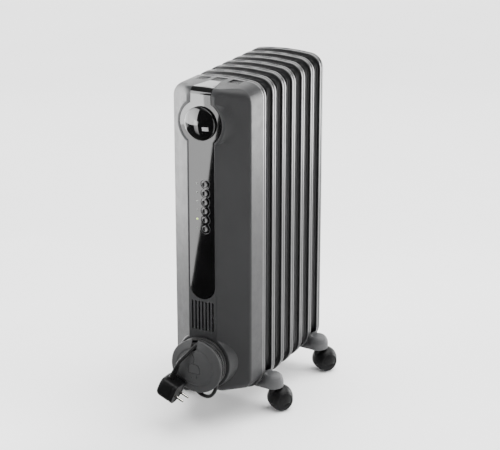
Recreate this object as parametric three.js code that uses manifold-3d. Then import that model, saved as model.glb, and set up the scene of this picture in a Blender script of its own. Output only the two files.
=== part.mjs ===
// Oil filled radiator: seven pressed steel fins on two oil tubes, a moulded control
// cover with a cord winder on the front, and two foot brackets on ball castors.
// Millimetres, +Z up, the control cover faces -Y, the origin is on the floor under the middle.
import * as THREE from "three";
import { mergeVertices } from "three/addons/utils/BufferGeometryUtils.js";
import Module from "manifold-3d";

const wasm = await Module();
wasm.setup();

// ---- Driving dimensions -------------------------------------------------
// Every y below is counted from the seam between the cover and the first fin.
const SEAM_Y = -72.24; // where that seam lies from the origin
const GAP = 0.3; // between touching pieces
const FAR = 700; // past every piece, for cutting blocks and outlines left open

const FIN_COUNT = 7;
const FIN_PITCH = 40.6;
const FIN_DEPTH = 14.4; // of the rim flange, front to back
const HALF_WIDTH = 77.5;
const TOP_CORNER = 28;
const TOP_CORNER_Z = 610.8; // centre of the top corners
const CROWN = 3.2; // rise of the top edge at its middle
const FIN_BOTTOM_Z = 49;
const BOTTOM_CORNER = 37.5;
const FLANGE_WALL = 2;
const WEB_THICKNESS = 1.6;
const PANEL_INSET = 8.5; // from the rim to the swollen oil panel
const PANEL_THICKNESS = 11;
const SHEET = 1.3; // steel sheet of the oil panel
const RIM_STEPS = 2; // facets in an eighth of a turn of the rim

const UPPER_TUBE_Z = 590;
const UPPER_TUBE_R = 12;
const LOWER_TUBE_Z = 98;
const LOWER_TUBE_R = 15;
const TUBE_WALL = 1.5;

const COVER_DEPTH = 86;
const SIDE_DEPTH = 45.6; // side wall before the sloping face starts
const STRIP_HALF = 28; // half width of the flat front strip
const COVER_WALL = 2.6;
const COVER_BOTTOM_Z = 71;
const COVER_BOTTOM_CORNER = 15;
const COVER_EDGE = 12; // rounding of the front top and bottom edges
const TOP_VENT = { pitch: 33, halfWidth: 10, rows: [-20, -13, -6], halfRow: 2, lowZ: 625 };
const FRONT_VENT = { pitch: 6.93, halfWidth: 1.55, z: [188.8, 245.6], depth: 6 };

const KNOB_Z = 579;
const KNOB_R = 30.5;
const KNOB_BOSS = { front: 46, back: 59, backY: -60 };
const FASCIA_HALF = 25.5;
const FASCIA_BULGE = 41.5;
const FASCIA_LOW_Z = 275.5; // centre of its round lower end
const TONGUE = { backY: -31, backHalf: 11, frontHalf: 20, lowZ: 615 };
const FASCIA_SKIN = { out: 0.5, in: 1.2 }; // the panel's faces, from the cover's own surface

const BUTTON_COUNT = 6;
const BUTTON_PITCH = 16.65;
const BUTTON_TOP_Z = 468.7;
const BUTTON_X = 7.5;
const BUTTON_R = 6;
const BUTTON_Y = { front: -88.8, flange: [-82.8, -80.8], back: -78.5 };
const LED_X = -8.7;
const LED_R = 1.6;

const DRUM_Z = 127.5;
const DRUM_BOSS = { front: 53, back: 59, backY: -60 };
const HUB_R = 35.2;
const DISC_R = 51.4;
const WINDING_R = 50;
const WINDING_Y = [-109.8, -86.4];
const CORD_D = 7.2;

const FOOT_Z = 58.6; // centre of a foot's round elbow
const FOOT_X = 87;
const FOOT_R = 20;
const FOOT_UNDERSIDE_Z = 49.6;
const FOOT_WIDTH = 24;
const U_BOLT_X = 19.5;
const U_BOLT_R = 3;
const TRAIL = { x: 9, y: 12 }; // from a castor's stem to its ball
const BALL_R = 24.6;
const BALL_Z = 24;
const HOOD_LOW_Z = 19;
const RIB_LOW_Z = 8; // lower edge of the hood's rib between the wheels
const STEM_R = 5;
const STEM_TOP_Z = 69;
const COLLAR_R = 8;
const AXLE_R = 2.5;
const WHEEL_R = 21.4;
const WHEEL_FACETS = 20; // one of them lies flat on the floor
const WHEEL_Z = WHEEL_R * Math.cos(Math.PI / WHEEL_FACETS);

// ---- Materials ----------------------------------------------------------
function finish(color, roughness, metalness) {
  return new THREE.MeshStandardMaterial({ color, roughness, metalness });
}
const painted = () => finish(0x4d4e50, 0.42, 0.35);
const coverPlastic = () => finish(0x505153, 0.5, 0);
const glossBlack = () => finish(0x0a0a0c, 0.08, 0);
const greyPlastic = () => finish(0x6e6f70, 0.55, 0);
const blackPlastic = () => finish(0x1c1c1d, 0.5, 0);
const innerPlastic = () => finish(0xc9c6bd, 0.6, 0);
const cordRubber = () => finish(0x161617, 0.6, 0);
const steel = () => finish(0xa9abad, 0.35, 1);
const nickel = () => finish(0xc8c9c6, 0.22, 1);
const circuitGreen = () => finish(0x1f5a35, 0.6, 0);
const clearGreen = () => finish(0x9fd8a0, 0.2, 0);

// ---- Solids -------------------------------------------------------------
function solid(geometry) {
  const bare = geometry.index ? geometry.toNonIndexed() : geometry.clone();
  bare.deleteAttribute("normal");
  bare.deleteAttribute("uv");
  const merged = mergeVertices(bare, 1e-4);
  return new wasm.Manifold(
    new wasm.Mesh({
      numProp: 3,
      vertProperties: merged.attributes.position.array,
      triVerts: new Uint32Array(merged.index.array),
    }),
  );
}

function geometryOf(made) {
  const mesh = made.getMesh();
  return new THREE.BufferGeometry()
    .setAttribute("position", new THREE.BufferAttribute(mesh.vertProperties, 3))
    .setIndex(new THREE.BufferAttribute(mesh.triVerts, 1))
    .toNonIndexed();
}

function union(...solids) {
  return solids.reduce((all, next) => all.add(next));
}

function cut(body, ...tools) {
  return tools.reduce((left, tool) => left.subtract(tool), body);
}

function node(name, made, material) {
  const geometry = geometryOf(made);
  geometry.computeVertexNormals();
  const mesh = new THREE.Mesh(geometry, material);
  mesh.name = name;
  return mesh;
}

// An outline in x and z, extruded from y0 to y1.
function alongY(shape, y0, y1, curveSegments = 4) {
  const geometry = new THREE.ExtrudeGeometry(shape, {
    depth: y1 - y0,
    bevelEnabled: false,
    curveSegments,
  });
  return solid(geometry.rotateX(Math.PI / 2).translate(0, y1, 0));
}

// An outline in x and y, extruded from z0 to z1.
function alongZ(shape, z0, z1, curveSegments = 4) {
  const geometry = new THREE.ExtrudeGeometry(shape, {
    depth: z1 - z0,
    bevelEnabled: false,
    curveSegments,
  });
  return solid(geometry.translate(0, 0, z0));
}

// An outline in y and z, extruded from x0 to x1.
function alongX(shape, x0, x1, curveSegments = 3) {
  const geometry = new THREE.ExtrudeGeometry(shape, {
    depth: x1 - x0,
    bevelEnabled: false,
    curveSegments,
  });
  const turn = new THREE.Matrix4().makeBasis(
    new THREE.Vector3(0, 1, 0),
    new THREE.Vector3(0, 0, 1),
    new THREE.Vector3(1, 0, 0),
  );
  return solid(geometry.applyMatrix4(turn).translate(x0, 0, 0));
}

function box(x0, x1, y0, y1, z0, z1) {
  const geometry = new THREE.BoxGeometry(x1 - x0, y1 - y0, z1 - z0);
  return solid(geometry.translate((x0 + x1) / 2, (y0 + y1) / 2, (z0 + z1) / 2));
}

// A round bar along Y from y0 to y1.
function barY(radius, x, z, y0, y1, segments = 12) {
  const geometry = new THREE.CylinderGeometry(radius, radius, y1 - y0, segments);
  return solid(geometry.translate(x, (y0 + y1) / 2, z));
}

// A round bar along Z from z0 to z1.
function barZ(radius, x, y, z0, z1, segments = 10) {
  const geometry = new THREE.CylinderGeometry(radius, radius, z1 - z0, segments);
  return solid(geometry.rotateX(Math.PI / 2).translate(x, y, (z0 + z1) / 2));
}

// A profile of [radius, y] pairs turned about the Y direction; it runs towards +Y.
function turnedY(profile, x, z, segments = 24) {
  const points = profile.map(([r, y]) => new THREE.Vector2(r, y));
  return solid(new THREE.LatheGeometry(points, segments).translate(x, 0, z));
}

// A round tube of the given radius along a smooth curve through points.
function tubeAlong(points, radius, sides, steps) {
  const circle = new THREE.Shape();
  circle.absarc(0, 0, radius, 0, 2 * Math.PI, false);
  const path = new THREE.CatmullRomCurve3(points.map((p) => new THREE.Vector3(...p)));
  const options = { steps, extrudePath: path, curveSegments: sides };
  return solid(new THREE.ExtrudeGeometry(circle, options));
}

// ---- Fins and oil tubes -------------------------------------------------
function finOutline(inset) {
  const half = HALF_WIDTH - inset;
  const topX = HALF_WIDTH - TOP_CORNER;
  const bottomX = HALF_WIDTH - BOTTOM_CORNER;
  const bottomZ = FIN_BOTTOM_Z + BOTTOM_CORNER;
  const topR = TOP_CORNER - inset;
  const bottomR = BOTTOM_CORNER - inset;
  const topEdge = TOP_CORNER_Z + topR;
  const shape = new THREE.Shape();
  shape.moveTo(half, bottomZ);
  shape.lineTo(half, TOP_CORNER_Z);
  shape.absarc(topX, TOP_CORNER_Z, topR, 0, Math.PI / 2, false);
  shape.quadraticCurveTo(0, topEdge + 2 * CROWN, -topX, topEdge);
  shape.absarc(-topX, TOP_CORNER_Z, topR, Math.PI / 2, Math.PI, false);
  shape.lineTo(-half, bottomZ);
  shape.absarc(-bottomX, bottomZ, bottomR, Math.PI, 1.5 * Math.PI, false);
  shape.lineTo(bottomX, bottomZ - bottomR);
  shape.absarc(bottomX, bottomZ, bottomR, 1.5 * Math.PI, 2 * Math.PI, false);
  return shape;
}

function finY(index) {
  return index * FIN_PITCH;
}

// A flanged rim, the welded web inside it, and the swollen panel that holds the oil.
function fin(index) {
  const front = finY(index);
  const middle = front + FIN_DEPTH / 2;
  const band = new THREE.Shape(finOutline(0).getPoints(RIM_STEPS));
  band.holes.push(new THREE.Path(finOutline(FLANGE_WALL).getPoints(RIM_STEPS)));
  const halfWeb = WEB_THICKNESS / 2;
  const rim = alongY(band, front, front + FIN_DEPTH);
  const web = alongY(finOutline(FLANGE_WALL / 2), middle - halfWeb, middle + halfWeb, RIM_STEPS);
  const halfPanel = PANEL_THICKNESS / 2;
  const panel = alongY(finOutline(PANEL_INSET), middle - halfPanel, middle + halfPanel, 2);
  const halfOil = halfPanel - SHEET;
  const oil = alongY(finOutline(PANEL_INSET + SHEET), middle - halfOil, middle + halfOil, 2);
  const upperHole = barY(UPPER_TUBE_R + GAP, 0, UPPER_TUBE_Z, front, front + FIN_DEPTH, 12);
  const lowerHole = barY(LOWER_TUBE_R + GAP, 0, LOWER_TUBE_Z, front, front + FIN_DEPTH, 12);
  const made = cut(union(rim, web, panel), oil, upperHole, lowerHole);
  return node(`fin_${index + 1}`, made, painted());
}

const STACK_END = finY(FIN_COUNT - 1) + FIN_DEPTH;

function tube(name, radius, z, y0, y1) {
  const outside = barY(radius, 0, z, y0, y1, 12);
  const inside = barY(radius - TUBE_WALL, 0, z, y0 - 1, y1 + 1, 12);
  return node(name, cut(outside, inside), painted());
}

// A plug with a hexagon head, pushed into a tube's end; towards is the side its head is on.
function tubePlug(name, radius, z, y, towards) {
  const bore = radius - TUBE_WALL - GAP;
  const ends = (from, to) => [y + Math.min(from, to), y + Math.max(from, to)];
  const spigot = barY(bore, 0, z, ...ends(-8 * towards, 0.5 * towards), 12);
  const head = barY(radius + 1, 0, z, ...ends(GAP * towards, 4 * towards), 6);
  return node(name, union(spigot, head), steel());
}

const ELEMENT_LEG_X = 6;
const ELEMENT_R = 3.6;

// The immersed heater: a hairpin rod in the lower tube.
function heatingElement() {
  const end = STACK_END - 30;
  const points = [
    [-ELEMENT_LEG_X, -24, LOWER_TUBE_Z],
    [-ELEMENT_LEG_X, end / 2, LOWER_TUBE_Z],
    [-ELEMENT_LEG_X, end - 6, LOWER_TUBE_Z],
    [0, end, LOWER_TUBE_Z],
    [ELEMENT_LEG_X, end - 6, LOWER_TUBE_Z],
    [ELEMENT_LEG_X, end / 2, LOWER_TUBE_Z],
    [ELEMENT_LEG_X, -24, LOWER_TUBE_Z],
  ];
  return node("heating_element", tubeAlong(points, ELEMENT_R, 4, 20), steel());
}

function elementFlange() {
  const head = barY(LOWER_TUBE_R + 4, 0, LOWER_TUBE_Z, -12, -5, 6);
  const spigot = barY(LOWER_TUBE_R - TUBE_WALL - GAP, 0, LOWER_TUBE_Z, -6, 8, 12);
  const legs = [-ELEMENT_LEG_X, ELEMENT_LEG_X].map((x) =>
    barY(ELEMENT_R + GAP, x, LOWER_TUBE_Z, -13, 9, 8),
  );
  return node("element_flange", cut(union(head, spigot), ...legs), steel());
}

// ---- Control cover ------------------------------------------------------
function coverPlan(inset) {
  const slope = new THREE.Vector2(HALF_WIDTH - STRIP_HALF, COVER_DEPTH - SIDE_DEPTH);
  const half = HALF_WIDTH - inset;
  const sideY = -SIDE_DEPTH + inset * Math.tan(Math.atan2(slope.x, slope.y) / 2);
  const stripX = STRIP_HALF - inset * Math.tan(Math.atan2(slope.y, slope.x) / 2);
  const shape = new THREE.Shape();
  shape.moveTo(half, FAR);
  shape.lineTo(half, sideY);
  shape.lineTo(stripX, -COVER_DEPTH + inset);
  shape.lineTo(-stripX, -COVER_DEPTH + inset);
  shape.lineTo(-half, sideY);
  shape.lineTo(-half, FAR);
  return shape;
}

// Outline seen from the front: the fins' rounded top, and a lower edge of its own.
function coverFront(inset) {
  const half = HALF_WIDTH - inset;
  const topX = HALF_WIDTH - TOP_CORNER;
  const topR = TOP_CORNER - inset;
  const topEdge = TOP_CORNER_Z + topR;
  const lowX = HALF_WIDTH - COVER_BOTTOM_CORNER;
  const lowR = COVER_BOTTOM_CORNER - inset;
  const lowZ = COVER_BOTTOM_Z + COVER_BOTTOM_CORNER;
  const shape = new THREE.Shape();
  shape.absarc(topX, TOP_CORNER_Z, topR, 0, Math.PI / 2, false);
  shape.quadraticCurveTo(0, topEdge + 2 * CROWN, -topX, topEdge);
  shape.absarc(-topX, TOP_CORNER_Z, topR, Math.PI / 2, Math.PI, false);
  shape.absarc(-lowX, lowZ, lowR, Math.PI, 1.5 * Math.PI, false);
  shape.absarc(lowX, lowZ, lowR, 1.5 * Math.PI, 2 * Math.PI, false);
  return shape;
}

// Outline seen from the side, with the rounded front edges.
function coverSide(inset) {
  const top = TOP_CORNER_Z + TOP_CORNER + CROWN;
  const radius = COVER_EDGE - inset;
  const frontY = -COVER_DEPTH + COVER_EDGE;
  const shape = new THREE.Shape();
  shape.moveTo(FAR, top - inset);
  shape.lineTo(frontY, top - inset);
  shape.absarc(frontY, top - COVER_EDGE, radius, Math.PI / 2, Math.PI, false);
  shape.absarc(frontY, COVER_BOTTOM_Z + COVER_EDGE, radius, Math.PI, 1.5 * Math.PI, false);
  shape.lineTo(FAR, COVER_BOTTOM_Z + inset);
  return shape;
}

// The cover's block, shrunk by inset on every side.
function coverBlock(inset) {
  const plan = alongZ(coverPlan(inset), 0, FAR);
  const front = alongY(coverFront(inset), -FAR, COVER_EDGE);
  const side = alongX(coverSide(inset), -FAR, FAR);
  return plan.intersect(front).intersect(side);
}

// A round boss that fairs into the sloping faces.
function boss(size, z, inset) {
  const profile = [
    [0, -COVER_DEPTH + inset],
    [size.front - inset, -COVER_DEPTH + inset],
    [size.back - inset, size.backY],
    [size.back - inset - 12, size.backY + 4],
    [0, size.backY + 4],
  ];
  return turnedY(profile, 0, z);
}

function coverBody(inset) {
  return union(
    coverBlock(inset),
    boss(KNOB_BOSS, KNOB_Z, inset),
    boss(DRUM_BOSS, DRUM_Z, inset),
  );
}

// The glossy panel's outline from the front: a bulge round the knob over a long strip.
function fasciaFront(grow) {
  const half = FASCIA_HALF + grow;
  const bulge = FASCIA_BULGE + grow;
  const neck = TONGUE.frontHalf + grow;
  const lowAngle = Math.asin(half / bulge);
  const highAngle = Math.asin(neck / bulge);
  const shape = new THREE.Shape();
  shape.absarc(0, KNOB_Z, bulge, lowAngle - Math.PI / 2, Math.PI / 2 - highAngle, false);
  shape.lineTo(neck, FAR);
  shape.lineTo(-neck, FAR);
  shape.absarc(0, KNOB_Z, bulge, Math.PI / 2 + highAngle, 1.5 * Math.PI - lowAngle, false);
  shape.lineTo(-half, FASCIA_LOW_Z);
  shape.absarc(0, FASCIA_LOW_Z, half, Math.PI, 2 * Math.PI, false);
  return shape;
}

// Its tongue, seen from above.
function fasciaTongue(grow) {
  const shape = new THREE.Shape();
  shape.moveTo(-TONGUE.backHalf - grow, TONGUE.backY + grow);
  shape.lineTo(-TONGUE.frontHalf - grow, -COVER_DEPTH + COVER_EDGE);
  shape.lineTo(TONGUE.frontHalf + grow, -COVER_DEPTH + COVER_EDGE);
  shape.lineTo(TONGUE.backHalf + grow, TONGUE.backY + grow);
  return shape;
}

function fasciaPrism(grow) {
  const front = alongY(fasciaFront(grow), -FAR, -COVER_DEPTH + COVER_EDGE);
  const tongue = alongZ(fasciaTongue(grow), TONGUE.lowZ, FAR);
  return union(front, tongue);
}

// The holes for the knob's shaft, the buttons and the lamps.
function controlHoles(grow) {
  const ends = [-COVER_DEPTH - 10, -COVER_DEPTH + 20];
  const holes = [barY(5 + grow, 0, KNOB_Z, ...ends)];
  for (let i = 0; i < BUTTON_COUNT; i++) {
    const z = BUTTON_TOP_Z - i * BUTTON_PITCH;
    holes.push(barY(BUTTON_R + GAP + grow, BUTTON_X, z, ...ends));
    holes.push(barY(LED_R + GAP + grow, LED_X, z, ...ends, 10));
  }
  return holes;
}

function fasciaPanel() {
  const skin = cut(coverBody(-FASCIA_SKIN.out), coverBody(FASCIA_SKIN.in));
  const made = cut(fasciaPrism(0).intersect(skin), ...controlHoles(0));
  return node("fascia_panel", made, glossBlack());
}

function frontVents() {
  const { pitch, halfWidth, z, depth } = FRONT_VENT;
  const slots = [];
  for (let k = -3; k <= 3; k++) {
    const x = k * pitch;
    slots.push(box(x - halfWidth, x + halfWidth, -FAR, -COVER_DEPTH + depth, ...z));
  }
  return slots;
}

function topVents() {
  const { pitch, halfWidth, rows, halfRow, lowZ } = TOP_VENT;
  const slots = [];
  for (let k = -1; k <= 1; k++) {
    const x = k * pitch;
    for (const y of rows) {
      slots.push(box(x - halfWidth, x + halfWidth, y - halfRow, y + halfRow, lowZ, FAR));
    }
  }
  return slots;
}

function frontCover() {
  const inside = coverBlock(COVER_WALL);
  const behind = box(-FAR, FAR, -GAP, FAR, 0, FAR);
  const bed = cut(fasciaPrism(GAP).intersect(coverBody(-2)), coverBody(FASCIA_SKIN.in + GAP));
  const cordHole = barY(6, 0, DRUM_Z, -FAR, DRUM_BOSS.backY + 10);
  const shell = cut(coverBody(0), inside, behind, bed, cordHole);
  const made = cut(shell, ...controlHoles(GAP), ...frontVents(), ...topVents());
  return node("front_cover", made, coverPlastic());
}

function backPlate() {
  const inset = COVER_WALL + GAP;
  const plate = coverBlock(inset).intersect(box(-FAR, FAR, -3.5, -1.5, 0, FAR));
  const tubeHole = barY(LOWER_TUBE_R + 1, 0, LOWER_TUBE_Z, -10, 5);
  const upperHole = barY(UPPER_TUBE_R + 2, 0, UPPER_TUBE_Z, -10, 5);
  return node("control_back_plate", cut(plate, tubeHole, upperHole), steel());
}

// ---- Controls -----------------------------------------------------------
const SHAFT_R = 3;
const THERMOSTAT_Y = [-80, -56];

function thermostatKnob() {
  const rimY = -91;
  const profile = [
    [0, -100],
    [12, -99.4],
    [22, -97.2],
    [28, -94],
    [KNOB_R, rimY],
    [KNOB_R, -87.2],
    [KNOB_R - 3, -87],
    [SHAFT_R, -87],
    [SHAFT_R, -66],
    [0, -66],
  ];
  return node("thermostat_knob", turnedY(profile, 0, KNOB_Z, 28), glossBlack());
}

function thermostatBody() {
  const body = box(-20, 20, ...THERMOSTAT_Y, KNOB_Z - 17, KNOB_Z + 17);
  const bush = barY(4.6, 0, KNOB_Z, THERMOSTAT_Y[0] - 4.5, THERMOSTAT_Y[0] + 1);
  const bore = barY(SHAFT_R + GAP, 0, KNOB_Z, -90, -64);
  const tabs = [-1, 1].map((side) =>
    box(side * 12 - 3, side * 12 + 3, THERMOSTAT_Y[1] - 1, THERMOSTAT_Y[1] + 9, KNOB_Z - 1, KNOB_Z + 1),
  );
  return node("thermostat_body", cut(union(body, bush, ...tabs), bore), innerPlastic());
}

// A round push button: a cap through the panel, and a flange that keeps it in.
function pushButton(index) {
  const z = BUTTON_TOP_Z - index * BUTTON_PITCH;
  const profile = [
    [0, BUTTON_Y.front],
    [BUTTON_R - 1.5, BUTTON_Y.front + 0.4],
    [BUTTON_R, BUTTON_Y.front + 1.8],
    [BUTTON_R, BUTTON_Y.flange[0]],
    [BUTTON_R + 1.4, BUTTON_Y.flange[0]],
    [BUTTON_R + 1.4, BUTTON_Y.flange[1]],
    [2.5, BUTTON_Y.flange[1]],
    [2.5, BUTTON_Y.back],
    [0, BUTTON_Y.back],
  ];
  return node(`button_${index + 1}`, turnedY(profile, BUTTON_X, z, 12), glossBlack());
}

const BOARD_Y = [-74, -72.4];

function controlBoard() {
  const lowZ = BUTTON_TOP_Z - BUTTON_COUNT * BUTTON_PITCH - 10;
  const board = box(-22, 22, ...BOARD_Y, lowZ, BUTTON_TOP_Z + 20);
  const switches = [];
  for (let i = 0; i < BUTTON_COUNT; i++) {
    const z = BUTTON_TOP_Z - i * BUTTON_PITCH;
    switches.push(box(BUTTON_X - 3, BUTTON_X + 3, -76.4, BOARD_Y[0] + 0.5, z - 3, z + 3));
  }
  const relay = box(-16, 2, BOARD_Y[1] - 0.5, BOARD_Y[1] + 15, lowZ + 8, lowZ + 34);
  return node("control_board", union(board, relay, ...switches), circuitGreen());
}

// One clear moulding that carries the six lamp windows.
function lightGuide() {
  const lowZ = BUTTON_TOP_Z - (BUTTON_COUNT - 1) * BUTTON_PITCH;
  const bar = box(LED_X - 3, LED_X + 3, -82, -79, lowZ - 5, BUTTON_TOP_Z + 5);
  const windows = [];
  for (let i = 0; i < BUTTON_COUNT; i++) {
    windows.push(barY(LED_R, LED_X, BUTTON_TOP_Z - i * BUTTON_PITCH, -86.6, -81, 10));
  }
  return node("light_guide", union(bar, ...windows), clearGreen());
}

function terminalBlock() {
  const base = box(-24, 24, -18, -4.5, 168, 186);
  const ways = [-16, 0, 16].map((x) => barY(4, x, 177, -22, -17, 8));
  return node("terminal_block", union(base, ...ways), innerPlastic());
}

function tipOverSwitch() {
  const body = box(30, 52, -26, -4.5, 150, 180);
  const weight = barZ(7, 41, -15, 142, 151, 12);
  return node("tip_over_switch", union(body, weight), blackPlastic());
}

function thermalCutout() {
  const disc = barY(9, 0, 300, -10, -4.5, 16);
  const terminals = box(-6, 6, -16, -9, 299, 301);
  return node("thermal_cutout", union(disc, terminals), innerPlastic());
}

// ---- Cord winder --------------------------------------------------------
// Middle of the cord from the hub's inside to where it joins the winding's front turn.
const GLAND_PATH = [
  [-12, -99, DRUM_Z - 20],
  [-2, -101.5, DRUM_Z - 26],
  [8, -103.5, DRUM_Z - 30],
  [18, -104.8, DRUM_Z - 30.5],
];

// The free end: off the winding's top, out through the disc's notch and down to the plug.
const TAIL_PATH = [
  [30, -104, DRUM_Z + 38],
  [22, -105, DRUM_Z + 43.5],
  [13, -107, DRUM_Z + 45.6],
  [4.5, -111, DRUM_Z + 44],
  [-2, -116.5, DRUM_Z + 39],
  [-9.5, -124.2, DRUM_Z + 29.5],
  [-16.8, -130.9, DRUM_Z + 20.5],
  [-22.9, -134.8, DRUM_Z + 13],
  [-26, -135.5, DRUM_Z + 6.5],
];
const PLUG_TILT = THREE.MathUtils.degToRad(23.6);
const PLUG_BODY = { wide: 41, deep: 38, long: 46, ahead: 6 }; // ahead of its cord, towards the pins
const RELIEF_LENGTH = 30;
const PIN = { r: 2.4, spread: 9.5, length: 27, inside: 8 };

function cordHub() {
  const profile = [
    [0, -88.6],
    [HUB_R - 3, -88.6],
    [HUB_R - 3, -109.7],
    [HUB_R, -109.7],
    [HUB_R, -86.4],
    [0, -86.4],
  ];
  const window = tubeAlong(GLAND_PATH, 6.2, 4, 6);
  const wire = barY(5, 0, DRUM_Z, -92, -80);
  return node("cord_hub", cut(turnedY(profile, 0, DRUM_Z), window, wire), greyPlastic());
}

// A tapered sleeve that lets the cord out through the hub's wall.
function cordGland() {
  const sleeve = tubeAlong(GLAND_PATH, 4.8, 4, 6);
  const within = barY(HUB_R - GAP, 0, DRUM_Z, -FAR, -88, 24);
  return node("cord_gland", sleeve.intersect(within), cordRubber());
}

function cordCoil() {
  const profile = [
    [HUB_R + GAP, WINDING_Y[0]],
    [WINDING_R, WINDING_Y[0]],
    [WINDING_R, WINDING_Y[1]],
    [HUB_R + GAP, WINDING_Y[1]],
    [HUB_R + GAP, WINDING_Y[0]],
  ];
  const tail = tubeAlong(TAIL_PATH, CORD_D / 2 + GAP, 4, 16);
  return node("cord_coil", cut(turnedY(profile, 0, DRUM_Z, 28), tail), cordRubber());
}

function cordTail() {
  return node("cord_tail", tubeAlong(TAIL_PATH, CORD_D / 2, 4, 16), cordRubber());
}

function cordDisc() {
  const profile = [
    [0, -122],
    [18, -121.6],
    [34, -119.6],
    [45, -116.6],
    [50, -114.2],
    [DISC_R, -112.4],
    [DISC_R, -110.2],
    [48.6, -110.2],
    [44, -113.6],
    [33.4, -116.8],
    [30.5, -117.2],
    [30.5, -104],
    [28.5, -104],
    [28.5, -117.6],
    [0, -119.2],
  ];
  const dome = turnedY(profile, 0, DRUM_Z, 28);
  const notch = box(-7.5, 3.5, -FAR, WINDING_Y[0], DRUM_Z + 35.5, DRUM_Z + 60);
  const notchEnd = barY(5.5, -2, DRUM_Z + 36.5, -FAR, WINDING_Y[0], 16);
  const passage = tubeAlong(TAIL_PATH, CORD_D / 2 + 1, 4, 16);
  const glandRoom = tubeAlong(GLAND_PATH, 6.2, 4, 6);
  return node("cord_disc", cut(dome, notch, notchEnd, passage, glandRoom), greyPlastic());
}

// The plug's own frame: z runs back up the cord, x is the way the pins point.
function plug() {
  const group = new THREE.Group();
  const last = TAIL_PATH[TAIL_PATH.length - 1];
  group.position.set(...last);
  group.rotation.y = PLUG_TILT;
  const half = PLUG_BODY.wide / 2;
  const outline = new THREE.Shape();
  outline.absarc(0, 0, half, -Math.PI / 2, Math.PI / 2, false);
  const shoulder = half * 0.55;
  outline.lineTo(-PLUG_BODY.long / 2, shoulder);
  outline.lineTo(-PLUG_BODY.long / 2, -shoulder);
  // The outline lies in the pins' face: its round end is furthest from the cord.
  const edge = 3;
  const face = new THREE.ExtrudeGeometry(outline, {
    depth: PLUG_BODY.deep - 2 * edge,
    bevelThickness: edge,
    bevelSize: edge,
    bevelOffset: -edge,
    bevelSegments: 2,
    curveSegments: 10,
  });
  const turn = new THREE.Matrix4().makeBasis(
    new THREE.Vector3(0, 0, -1),
    new THREE.Vector3(0, -1, 0),
    new THREE.Vector3(-1, 0, 0),
  );
  const bodyZ = -RELIEF_LENGTH - PLUG_BODY.long / 2;
  face.applyMatrix4(turn);
  const pinFaceX = PLUG_BODY.ahead + PLUG_BODY.deep / 2;
  face.translate(pinFaceX - edge, 0, bodyZ);
  const reliefProfile = [
    [0, -RELIEF_LENGTH - 4],
    [6.4, -RELIEF_LENGTH - 4],
    [6.2, -RELIEF_LENGTH],
    [4.6, -2 * GAP],
    [0, -2 * GAP],
  ].map(([r, y]) => new THREE.Vector2(r, y));
  const relief = new THREE.LatheGeometry(reliefProfile, 14).rotateX(Math.PI / 2);
  const pinHoles = [];
  const pins = [];
  [-1, 1].forEach((side, index) => {
    const rod = (radius, from, to) => {
      const made = new THREE.CylinderGeometry(radius, radius, to - from, 12).rotateZ(Math.PI / 2);
      return solid(made.translate((from + to) / 2, side * PIN.spread, bodyZ));
    };
    const from = pinFaceX - PIN.inside;
    const to = from + PIN.length;
    pins.push(node(`plug_pin_${index + 1}`, rod(PIN.r, from, to), nickel()));
    pinHoles.push(rod(PIN.r + GAP, from - GAP, to));
  });
  const body = cut(union(solid(face), solid(relief)), ...pinHoles);
  group.add(node("plug_body", body, blackPlastic()), ...pins);
  return group;
}

// ---- Feet and castors ---------------------------------------------------
const FOOT_GAPS = { front: 0, rear: FIN_COUNT - 2 }; // each foot sits behind this fin

function footY(gapIndex) {
  return finY(gapIndex) + (FIN_PITCH + FIN_DEPTH) / 2;
}

function castorPlaces() {
  const places = [];
  for (const end of ["front", "rear"]) {
    for (const side of [-1, 1]) {
      const name = `${end}_${side < 0 ? "left" : "right"}`;
      places.push({ name, side, x: side * FOOT_X, y: footY(FOOT_GAPS[end]) });
    }
  }
  return places;
}

// The slabs of the two fins that a foot reaches between, a little grown.
function finsBeside(gapIndex) {
  return [gapIndex, gapIndex + 1].map((i) =>
    alongY(finOutline(-0.5), finY(i) - 0.5, finY(i) + FIN_DEPTH + 0.5),
  );
}

function footBracket(name, gapIndex) {
  const y = footY(gapIndex);
  const half = FOOT_WIDTH / 2;
  const bar = new THREE.Shape();
  bar.moveTo(-FOOT_X, FOOT_UNDERSIDE_Z);
  bar.lineTo(FOOT_X, FOOT_UNDERSIDE_Z);
  bar.lineTo(FOOT_X, FOOT_Z + 16);
  bar.lineTo(FOOT_X - 12, FOOT_Z + 19);
  bar.lineTo(52, FOOT_UNDERSIDE_Z + 9);
  bar.lineTo(-52, FOOT_UNDERSIDE_Z + 9);
  bar.lineTo(-FOOT_X + 12, FOOT_Z + 19);
  bar.lineTo(-FOOT_X, FOOT_Z + 16);
  const elbows = [-1, 1].map((side) => {
    const ball = new THREE.SphereGeometry(FOOT_R, 14, 8).rotateX(Math.PI / 2);
    return solid(ball.translate(side * FOOT_X, y, FOOT_Z));
  });
  const under = box(-FAR, FAR, -FAR, FAR, 0, FOOT_UNDERSIDE_Z);
  const sockets = [-1, 1].map((side) => barZ(STEM_R + GAP, side * FOOT_X, y, 40, 70));
  const legs = [-1, 1].map((side) => barZ(U_BOLT_R + GAP, side * U_BOLT_X, y, 40, 80, 10));
  const body = union(alongY(bar, y - half, y + half), ...elbows);
  return node(name, cut(body, under, ...finsBeside(gapIndex), ...sockets, ...legs), greyPlastic());
}

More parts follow.
